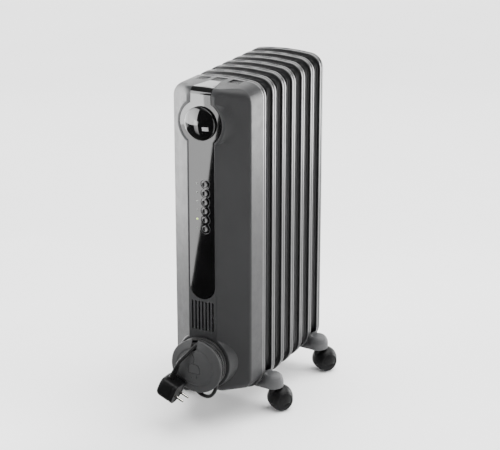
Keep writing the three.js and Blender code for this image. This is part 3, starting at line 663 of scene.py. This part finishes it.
# ---- Controls -----------------------------------------------------------
KNOB_PROFILE = [
    (0, -66), (3, -66), (3, -86.9), (KNOB_R - 2, -86.9), (KNOB_R - 0.6, -87.1), (KNOB_R, -87.7),
    (KNOB_R, -90.0), (KNOB_R - 0.25, -90.9), (KNOB_R - 0.9, -91.6), (KNOB_R - 1.6, -91.9),
]


def dome_y(r):
    """Depth of the knob's domed face at radius r."""
    return -100.0 + 8.0 * (r / (KNOB_R - 1.2)) ** 2


def make_knob(materials):
    profile = list(KNOB_PROFILE)
    for i in range(13):
        r = (KNOB_R - 2.2) * (1 - i / 12)
        profile.append((r, dome_y(r)))
    knob = turned("knob_skin", profile, (0, 0, KNOB_Z), steps=128, sharp=50)
    finish_piece(knob, materials["gloss"], "knob", "knob", "thermostat_knob")
    # A painted reflection: a light grey patch inlaid low on the right of the knob's dome stands in for the
    # reflection of a small square light.
    columns, rows = 10, 8
    points, faces = [], []
    wide, tall, cx, cz = 11.0, 7.0, 14.5, -6.0
    for layer in (0.18, -0.3):
        for j in range(rows + 1):
            for i in range(columns + 1):
                x = cx + wide * (i / columns - 0.5)
                z = cz + tall * (j / rows - 0.5)
                points.append((x, dome_y(math.hypot(x, z)) - layer, KNOB_Z + z))
    size = (columns + 1) * (rows + 1)
    for j in range(rows):
        for i in range(columns):
            a = j * (columns + 1) + i
            quad = (a, a + 1, a + columns + 2, a + columns + 1)
            faces.append(quad)
            faces.append(tuple(size + k for k in reversed(quad)))
    rim = list(range(columns))
    rim += [j * (columns + 1) + columns for j in range(rows)]
    rim += [rows * (columns + 1) + i for i in range(columns, 0, -1)]
    rim += [j * (columns + 1) for j in range(rows, 0, -1)]
    for i, a in enumerate(rim):
        b = rim[(i + 1) % len(rim)]
        faces.append((a, b, size + b, size + a))
    painted_reflection = mesh_object("knob_painted_reflection", points, faces)
    finish_piece(painted_reflection, materials["painted_reflection"], "knob", "knob")


# The button's stem, its flange behind the panel, and its cap with a dished face.
BUTTON_PROFILE = [
    (0, -78.5), (2.5, -78.5), (2.5, -80.8), (7.4, -80.8), (7.4, -82.8), (6, -82.8), (6, -87.4),
    (5.9, -87.9), (5.5, -88.3), (4.9, -88.45), (4.2, -88.35), (3, -88.2), (1.5, -88.12), (0, -88.1),
]


def make_buttons(materials):
    lit = lamp_lit()
    for i in range(BUTTONS):
        z = BUTTON_TOP_Z - i * BUTTON_PITCH
        cap = turned(f"button_{i + 1}_skin", BUTTON_PROFILE, (BUTTON_X, 0, z), steps=56, sharp=50)
        finish_piece(cap, materials["button"], "buttons", f"push_{i + 1}", f"button_{i + 1}")
        lamp = turned(
            f"lamp_{i + 1}",
            [(0, -82), (1.7, -82), (1.7, -86.3), (1.3, -86.6), (0, -86.75)],
            (LED_X, 0, z),
            steps=28,
        )
        finish_piece(lamp, lit if i == LIT_LAMP else materials["lamp_off"], "light_guide", ROOT)


# ---- Cord winder --------------------------------------------------------
def disc_y(r):
    """Front of the winder's domed disc at radius r."""
    return -122.0 + 8.6 * (r / DISC_R) ** 2.6


def stroke(name, points, radius, closed=False):
    """A round bead that follows the disc's face through (x, z) points."""
    rings = []
    last = len(points) - 1
    for i, (x, z) in enumerate(points):
        before = Vector(points[i - 1 if closed else max(i - 1, 0)])
        after = Vector(points[(i + 1) % len(points) if closed else min(i + 1, last)])
        along = (after - before).normalized()
        side = Vector((-along.y, along.x))
        y = disc_y(math.hypot(x, z))
        ring = []
        for k in range(8):
            a = 2 * math.pi * k / 8
            u, v = radius * math.cos(a), radius * math.sin(a)
            ring.append((x + side.x * u, y + v, DRUM_Z + z + side.y * u))
        rings.append(ring)
    return loft(name, rings, closed)


def smooth_points(points, steps=6):
    """Points of a Catmull-Rom curve through points."""
    out = []
    for i in range(len(points) - 1):
        p = [Vector(points[max(0, min(len(points) - 1, i + k))]) for k in (-1, 0, 1, 2)]
        for s in range(steps):
            t = s / steps
            out.append(tuple(0.5 * (
                2 * p[1] + (p[2] - p[0]) * t + (2 * p[0] - 5 * p[1] + 4 * p[2] - p[3]) * t * t
                + (3 * p[1] - p[0] - 3 * p[2] + p[3]) * t * t * t
            )))
    out.append(tuple(points[-1]))
    return out


def plug_icon():
    """A plain engraved sign for a plug on its cord."""
    body = [
        (-11, -10), (-11, 2), (-9.5, 6.5), (-6, 8.5), (0, 8.5),
        (6, 8), (10, 4.5), (11.5, 0), (11.5, -10),
    ]
    pins = [[(-6, -13), (-6, -20)], [(6, -13), (6, -20)]]
    tail = smooth_points([(-1, 11.6), (0.5, 15), (0.5, 19), (-1.5, 23), (-4.5, 27)])
    width = 1.25
    cutters = [stroke("icon_body", body, width, True), stroke("icon_tail", tail, width)]
    for i, pin in enumerate(pins):
        cutters.append(stroke(f"icon_pin_{i}", pin, width))
    return cutters


def make_winder(materials):
    hub = turned(
        "hub_skin",
        [(0, -86.4), (HUB_R, -86.4), (HUB_R, -109.5), (HUB_R - 3, -109.5), (HUB_R - 3, -88.6), (0, -88.6)],
        (0, 0, DRUM_Z),
        steps=96,
    )
    finish_piece(hub, materials["winder"], "winder", ROOT, "cord_hub")
    profile = [(0, -119), (30, -116.5), (44, -113.4), (48.6, -110.4), (DISC_R - 0.6, -110.3)]
    profile += [(DISC_R, -110.9), (DISC_R, -112.2), (DISC_R - 0.5, -113.1)]
    groove_r, groove = 35.5, 0.9
    for i in range(25):
        r = (DISC_R - 1.3) * (1 - i / 24)
        y = disc_y(r)
        if abs(r - groove_r) < groove:
            y += groove
        profile.append((r, y))
    disc = turned("disc_skin", profile, (0, 0, DRUM_Z), steps=128, sharp=50)
    notch_ring = arc(-2, DRUM_Z + 38, 5.8, 180, 360, 14) + [(3.8, DRUM_Z + 60), (-7.8, DRUM_Z + 60)]
    notch = loft("notch", [[(x, y, z) for x, z in notch_ring] for y in (-135, -100)])
    carve(disc, [notch, *plug_icon()])
    bevel(disc, 0.3, 2, 50)
    finish_piece(disc, materials["winder"], "winder", ROOT, "cord_disc")


# ---- Mains cord ---------------------------------------------------------
TAIL_PATH = [
    (30, -104, DRUM_Z + 38),
    (22, -105, DRUM_Z + 43.5),
    (13, -107, DRUM_Z + 45.6),
    (4.5, -111, DRUM_Z + 44),
    (-2, -116.5, DRUM_Z + 39),
    (-9.5, -124.2, DRUM_Z + 29.5),
    (-16.8, -130.9, DRUM_Z + 20.5),
    (-22.9, -134.8, DRUM_Z + 13),
    (-26, -135.5, DRUM_Z + 6.5),
]
GLAND_PATH = [
    (-12, -99, DRUM_Z - 20),
    (-2, -101.5, DRUM_Z - 26),
    (8, -103.5, DRUM_Z - 30),
    (18, -104.8, DRUM_Z - 30.5),
]


def winding():
    """The cord's middle on the drum: an inner layer, then an outer one that ends at the front."""
    points = []
    rows = [-105.2, -97.7, -90.2]
    inner, outer = HUB_R + CORD_D / 2 + 0.2, HUB_R + CORD_D * 1.5 - 0.4
    start = math.degrees(math.atan2(-30.5, 18)) + 18
    end = math.degrees(math.atan2(38, 30)) - 14
    laps = 2 * len(rows) - 1
    total = 360 * laps + (end - start) % 360
    order = [(inner, y) for y in rows] + [(outer, y) for y in reversed(rows)]
    steps = int(total / 10)
    step_over = 0.8  # the share of a lap after which the cord moves to the next row
    for i in range(steps + 1):
        angle = total * i / steps
        lap = angle / 360
        index = min(int(lap), len(order) - 1)
        share = lap - index
        radius, y = order[index]
        if index + 1 < len(order) and share > step_over:
            blend = (share - step_over) / (1 - step_over)
            blend = blend * blend * (3 - 2 * blend)
            next_radius, next_y = order[index + 1]
            radius += (next_radius - radius) * blend
            y += (next_y - y) * blend
        a = math.radians(start + angle)
        points.append((radius * math.cos(a), y, DRUM_Z + radius * math.sin(a)))
    return points


def slack(points):
    """Lets the last turn hang loose low on the right."""
    out = []
    last = len(points) - 1
    for i, (x, y, z) in enumerate(points):
        angle = math.degrees(math.atan2(z - DRUM_Z, x))
        away = abs((angle + 74 + 180) % 360 - 180)
        loose = max(0.0, 1 - away / 48) if last - i < 30 else 0.0
        grow = 1 + 0.38 * loose * loose * (3 - 2 * loose)
        out.append((x * grow, y, DRUM_Z + (z - DRUM_Z) * grow))
    return out


def make_cord(materials):
    route = smooth_points(GLAND_PATH[:3] + slack(winding()) + TAIL_PATH[1:], 4)
    curve = bpy.data.curves.new("mains_cord", "CURVE")
    curve.dimensions = "3D"
    curve.bevel_depth = CORD_D / 2 * MM
    curve.bevel_resolution = 5
    curve.use_fill_caps = True
    line = curve.splines.new("POLY")
    line.points.add(len(route) - 1)
    for i, p in enumerate(route):
        line.points[i].co = (*place(p), 1)
    cord = bpy.data.objects.new("mains_cord", curve)
    bpy.context.scene.collection.objects.link(cord)
    curve.materials.append(materials["cord"])
    line.use_smooth = True
    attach(cord, ROOT)
    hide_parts("cord_coil", "cord_tail")


def sleeve(name, path, radii, material):
    """A tapered strain relief along a curved path."""
    points = smooth_points(path, 8)
    rings = []
    for i, p in enumerate(points):
        share = i / (len(points) - 1)
        before = Vector(points[max(i - 1, 0)])
        after = Vector(points[min(i + 1, len(points) - 1)])
        along = (after - before).normalized()
        side = along.cross(Vector((0, 0, 1))).normalized()
        up = side.cross(along)
        radius = radii[0] + (radii[1] - radii[0]) * share
        rings.append([
            tuple(Vector(p) + radius * (math.cos(a) * side + math.sin(a) * up))
            for a in (2 * math.pi * k / 24 for k in range(24))
        ])
    made = loft(name, rings)
    finish_piece(made, material, "cord", ROOT, "cord_gland")
    return made


def make_plug(materials):
    """A right-angled earthed plug; its own z runs back up the cord and x along the pins."""
    origin = Vector(TAIL_PATH[-1])
    turn = Matrix.Rotation(math.radians(23.6), 3, "Y")

    def at(x, y, z):
        return tuple(origin + turn @ Vector((x, y, z)))

    deep, half, half_length, relief, ahead = 36.0, 20.5, 23, 30.0, 4.5
    middle = -relief - half_length

    def section(x, shrink):
        radius = half - shrink
        points = []
        for i in range(25):
            a = math.radians(180 + 180 * i / 24)
            points.append((radius * math.cos(a), middle + radius * math.sin(a)))
        shoulder = 11.5 - shrink * 0.6
        top = middle + half_length - shrink
        for i in range(9):
            a = math.radians(90 * i / 8)
            points.append((shoulder + (radius - shoulder) * math.cos(a), top - 9 + 9 * math.sin(a)))
        for i in range(9):
            a = math.radians(90 + 90 * i / 8)
            points.append((-shoulder + (radius - shoulder) * math.cos(a), top - 9 + 9 * math.sin(a)))
        return [at(x, y, z) for y, z in points]

    front = ahead + deep / 2
    back = ahead - deep / 2
    stations = [(back, 6), (back + 0.8, 3.6), (back + 2.6, 1.6), (back + 5.5, 0.4), (back + 9, 0)]
    stations += [(front - 9, 0), (front - 8.2, 0.7), (front - 7, 0.7), (front - 6.2, 0), (front - 1.2, 0)]
    stations += [(front - 0.4, 0.3), (front, 1.1), (front, 4.5), (front - 0.9, 5.2), (front - 0.9, 9)]
    body = loft("plug_skin", [section(x, shrink) for x, shrink in stations], sharp=50)

    def rod(name, start, along, radii, steps=40):
        rings = []
        for s, radius in radii:
            ring = []
            for k in range(steps):
                a = 2 * math.pi * k / steps
                u, v = radius * math.cos(a), radius * math.sin(a)
                offset = (s, u, v) if along == "x" else (u, v, s)
                ring.append(at(*(start[i] + offset[i] for i in range(3))))
            rings.append(ring)
        return loft(name, rings, sharp=50)

    ribs = [(-relief - 3, 6.4), (-relief + 1, 6.3)]
    for i in range(7):
        s = -relief + 2 + i * 3.7
        r = 6.2 - i * 0.27
        ribs += [(s, r), (s + 2.1, r - 0.3), (s + 2.2, r - 1.0), (s + 3.3, r - 1.1), (s + 3.4, r - 0.5)]
    ribs += [(-0.6, 4.3), (-0.2, 3.9)]
    neck = rod("plug_neck", (0, 0, 0), "z", ribs)
    finish_piece(body, materials["black"], "plug", ROOT, "plug_body")
    finish_piece(neck, materials["black"], "plug", ROOT)
    pieces = [body, neck]
    for index, side in enumerate((-1, 1)):
        radii = [(front - 8, 2.4), (front + 9, 2.4), (front + 9.1, 2.4), (front + 17.2, 2.4)]
        radii += [(front + 18.2, 2.1), (front + 18.8, 1.5), (front + 19, 0.6)]
        pin = rod(f"pin_{index + 1}_skin", (0, side * 9.5, middle), "x", radii, 32)
        finish_piece(pin, materials["nickel"], "pins", ROOT, f"plug_pin_{index + 1}")
        pieces.append(pin)
    return pieces


# ---- Feet and castors ---------------------------------------------------
def foot_y(gap):
    return gap * FIN_PITCH + (FIN_PITCH + FIN_DEPTH) / 2


def ball(name, centre, radius, steps=64):
    profile = []
    for i in range(33):
        a = math.pi * i / 32 - math.pi / 2
        profile.append((radius * math.cos(a), radius * math.sin(a)))
    return turned(name, profile, centre, axis="Z", steps=steps)


ELBOW_PROFILE = [
    (0, 45), (20, 45), (20, 60), (19.2, 65.5), (17, 70.5), (13.5, 74.4), (9, 77), (4, 78.3), (0, 78.6),
]
# The beak from the elbow inwards, under the fins' corner: (x, half width, top).
BEAK_SECTIONS = [(88, 19.6, 66), (76, 18.6, 62), (64, 17.6, 58.6), (52, 16.2, 56), (46, 14, 54.4)]


def make_foot(end, gap, materials):
    y = foot_y(gap)
    bar_points = [
        (-FOOT_X, FOOT_UNDER_Z), (FOOT_X, FOOT_UNDER_Z), (FOOT_X, FOOT_Z + 15),
        (FOOT_X - 12, FOOT_Z + 18.5), (50, FOOT_UNDER_Z + 15),
        (-50, FOOT_UNDER_Z + 15), (-FOOT_X + 12, FOOT_Z + 18.5), (-FOOT_X, FOOT_Z + 15),
    ]
    bar = loft(f"{end}_foot_skin", [[(x, y + s * 12.7, z) for x, z in bar_points] for s in (-1, 1)])
    elbows = [turned(f"elbow_{s}", ELBOW_PROFILE, (s * FOOT_X, y, 0), axis="Z", steps=56) for s in (-1, 1)]
    low, corner = 47, 4
    for s in (-1, 1):
        beak = []
        for x, half, top in BEAK_SECTIONS:
            ring = [(s * x, y - half, low), (s * x, y + half, low), (s * x, y + half, top - corner)]
            ring += [(s * x, y + half - corner, top), (s * x, y - half + corner, top)]
            ring.append((s * x, y - half, top - corner))
            beak.append(ring)
        elbows.append(loft(f"beak_{s}", beak))
    carve(bar, elbows, "UNION")
    under = block("under", (-150, y - 60, 0), (150, y + 60, FOOT_UNDER_Z))
    carve(bar, [under])
    soften(bar, 1.1, 3)
    finish_piece(bar, materials["feet"], "feet", ROOT, f"{end}_foot_bracket")


def make_castor(end, side_name, side, gap, materials):
    name = f"{end}_{side_name}"
    stem_x, stem_y = side * FOOT_X, foot_y(gap)
    trail = (side * TRAIL[0], TRAIL[1])
    heading = math.atan2(trail[1], trail[0])
    centre = (stem_x + trail[0], stem_y + trail[1])
    hood = ball(f"castor_{name}_hood_skin", (*centre, BALL_Z), BALL_R)
    pin = [(0, BALL_Z), (8, BALL_Z), (8, 48.4), (7.4, 49), (5, 49), (5, 68), (4.2, 69), (0, 69)]
    stem = turned("stem", pin, (stem_x, stem_y, 0), axis="Z", steps=48)
    carve(hood, [stem], "UNION")
    bays = []
    wheel = [(WHEEL_R - 1, 2.1), (WHEEL_R - 0.3, 2.4), (WHEEL_R, 3.0), (WHEEL_R, 6.4)]
    for i in range(1, 9):
        a = math.radians(64 * i / 8)
        wheel.append((WHEEL_R * math.cos(a) ** 0.42, 6.4 + 16.0 * math.sin(a)))
    for sign in (-1, 1):
        grown = [(0, 1.7 * sign)] + [(r + 0.6, (s + (0.5 if s > 3 else -0.4)) * sign) for r, s in wheel]
        grown += [(0, 21.6 * sign)]
        bays.append(turned(f"bay_{sign}", grown, (*centre, WHEEL_Z), axis="H", heading=heading, steps=64))
    skirt = block("skirt", (-200, centre[1] - 60, -10), (200, centre[1] + 60, 18.5))
    keep = ball("rib", (*centre, BALL_Z), BALL_R - 1)
    carve(hood, [skirt])
    slab = [(0, -1.4), (60, -1.4), (60, 1.4), (0, 1.4)]
    rib = turned("rib_slab", slab, (*centre, BALL_Z), axis="H", heading=heading, steps=32)
    carve(keep, [rib], "INTERSECT")
    low = block("low", (-200, centre[1] - 60, -20), (200, centre[1] + 60, 8))
    carve(keep, [low])
    carve(hood, [keep], "UNION")
    carve(hood, bays)
    bevel(hood, 0.4, 2, 50)
    finish_piece(hood, materials["black"], "castors", f"swivel_{name}", f"castor_{name}_hood")
    for letter, sign in (("a", 1), ("b", -1)):
        profile = [(0, 2.1 * sign)] + [(r, s * sign) for r, s in wheel]
        profile += [(9.0, 20.9 * sign), (8.4, 20.8 * sign), (8.0, 20.2 * sign), (4, 20.2 * sign)]
        profile += [(3.6, 20.9 * sign), (0, 21.0 * sign)]
        made = turned(
            f"castor_{name}_wheel_{letter}_skin", profile, (*centre, WHEEL_Z),
            axis="H", heading=heading, steps=72, sharp=50,
        )
        finish_piece(made, materials["tyre"], "wheels", f"wheels_{name}", f"castor_{name}_wheel_{letter}")


# ---- Hidden parts that keep their CAD shape -----------------------------
def dress_nodes(materials):
    looks = {
        "upper_front_plug": "steel", "oil_filler_plug": "steel", "lower_rear_plug": "steel",
        "element_flange": "steel", "heating_element": "steel", "control_back_plate": "steel",
        "thermostat_body": "inner", "control_board": "board", "light_guide": "lamp_off",
        "terminal_block": "inner", "tip_over_switch": "black", "thermal_cutout": "inner",
        "front_u_bolt": "steel", "rear_u_bolt": "steel",
        "front_wing_nut_left": "steel", "front_wing_nut_right": "steel",
        "rear_wing_nut_left": "steel", "rear_wing_nut_right": "steel",
    }
    for node, look in looks.items():
        NODES[node].data.materials.clear()
        NODES[node].data.materials.append(materials[look])


# ---- Studio -------------------------------------------------------------
def area_light(name, location, aim, size, power, spread=180, lean=0):
    """A rectangular softbox that shines along aim, turned by lean degrees in its own plane."""
    data = bpy.data.lights.new(name, "AREA")
    data.shape = "RECTANGLE"
    data.size, data.size_y = size
    data.energy = power
    data.spread = math.radians(spread)
    light = bpy.data.objects.new(name, data)
    light.location = location
    facing = Vector(aim).to_track_quat("-Z", "Y").to_matrix()
    light.rotation_euler = (facing @ Matrix.Rotation(math.radians(lean), 3, "Z")).to_euler()
    light.visible_camera = False
    bpy.context.scene.collection.objects.link(light)


def black_flag():
    """A black card behind the front softboxes, seen only in reflections, keeps gloss dark."""
    data = bpy.data.meshes.new("flag")
    left, right, near, far, top = -1.3, 0.4, -0.2, -0.64, 0.95
    corners = [(left, near, 0.003), (right, near, 0.003), (right, far, 0.003), (left, far, 0.003)]
    corners += [(right, far, top), (left, far, top)]
    data.from_pydata(corners, [], [(0, 1, 2, 3), (3, 2, 4, 5)])
    flag = bpy.data.objects.new("flag", data)
    bpy.context.scene.collection.objects.link(flag)
    material, tree, principled = shader("flag_cloth", (0.004, 0.004, 0.004), 0.9)
    tint(tree, principled, noise(tree, 3, 3), (0.003, 0.003, 0.003), (0.005, 0.005, 0.005))
    data.materials.append(material)
    flag.visible_camera = False
    flag.visible_diffuse = False
    flag.visible_shadow = False


def sweep_floor():
    """A flat round floor, in metres, whose edge sweeps up into a low wall."""
    flat, reach, steps = 5.0, 3.0, 96
    profile = [(flat * share, 0.0) for share in (0.02, 0.5, 1.0)]
    for i in range(1, 13):
        angle = math.pi / 2 * i / 12
        profile.append((flat + reach * math.sin(angle), reach * (1 - math.cos(angle))))
    points, faces = [], []
    for radius, height in profile:
        for k in range(steps):
            turn = 2 * math.pi * k / steps
            points.append((radius * math.cos(turn), radius * math.sin(turn), height))
    for i in range(len(profile) - 1):
        for k in range(steps):
            n = (k + 1) % steps
            faces.append((i * steps + k, (i + 1) * steps + k, (i + 1) * steps + n, i * steps + n))
    faces.append(tuple(range(steps)))
    data = bpy.data.meshes.new("floor")
    data.from_pydata(points, [], faces)
    data.shade_smooth()
    floor = bpy.data.objects.new("floor", data)
    bpy.context.scene.collection.objects.link(floor)
    return floor


def make_studio():
    world = bpy.data.worlds.new("studio")
    world.use_nodes = True
    world.node_tree.nodes["Background"].inputs["Color"].default_value = (1, 1, 1, 1)
    world.node_tree.nodes["Background"].inputs["Strength"].default_value = 0.35
    bpy.context.scene.world = world
    floor = sweep_floor()
    data = floor.data
    material, tree, principled = shader("floor_paper", (0.9, 0.9, 0.9), 0.8, specular=0.0)
    tint(tree, principled, noise(tree, 3, 3), (0.89, 0.89, 0.89), (0.91, 0.91, 0.91))
    data.materials.append(material)
    sun_data = bpy.data.lights.new("overhead", "SUN")
    sun_data.energy = 8
    sun_data.angle = math.radians(70)
    sun = bpy.data.objects.new("overhead", sun_data)
    sun.rotation_euler = Vector((-0.25, -0.15, -1)).to_track_quat("-Z", "Y").to_euler()
    bpy.context.scene.collection.objects.link(sun)
    area_light("strip", (-0.291, -0.55, 0.323), (0, 1, 0), (0.18, 0.53), 1.8, 120, -10.4)
    area_light("front_left", (-0.471, -0.25, 0.682), (0.75, 0.66, 0), (0.8, 0.45), 7.5, 110)
    area_light("left", (-1.15, 0.15, 0.5), (0.9, -0.25, 0.25), (1.0, 1.1), 8, 100)
    area_light("right", (0.85, 1.25, 0.5), (-0.44, -0.84, 0.2), (0.8, 0.9), 13, 100)
    area_light("back", (-0.9, 2.3, 1.5), (0.5, -0.85, -0.3), (3.2, 1.9), 22, 120)
    black_flag()


# ---- Making -------------------------------------------------------------
make_camera()
looks = make_materials()
plug_parts = make_plug(looks)
make_cord(looks)
sleeve("gland_skin", GLAND_PATH, (4.8, 4.0), looks["cord"])
for number in range(FIN_COUNT):
    fin(number, looks["fins"])
oil_tube("upper_tube_skin", *UPPER_TUBE, "upper_manifold", looks["fins"])
oil_tube("lower_tube_skin", *LOWER_TUBE, "lower_manifold", looks["fins"], -4.5)
make_cover(looks)
make_knob(looks)
make_buttons(looks)
make_winder(looks)
for end_name, gap_index in FOOT_GAPS.items():
    make_foot(end_name, gap_index, looks)
    for side_name, side_sign in (("left", -1), ("right", 1)):
        make_castor(end_name, side_name, side_sign, gap_index, looks)
dress_nodes(looks)
make_studio()
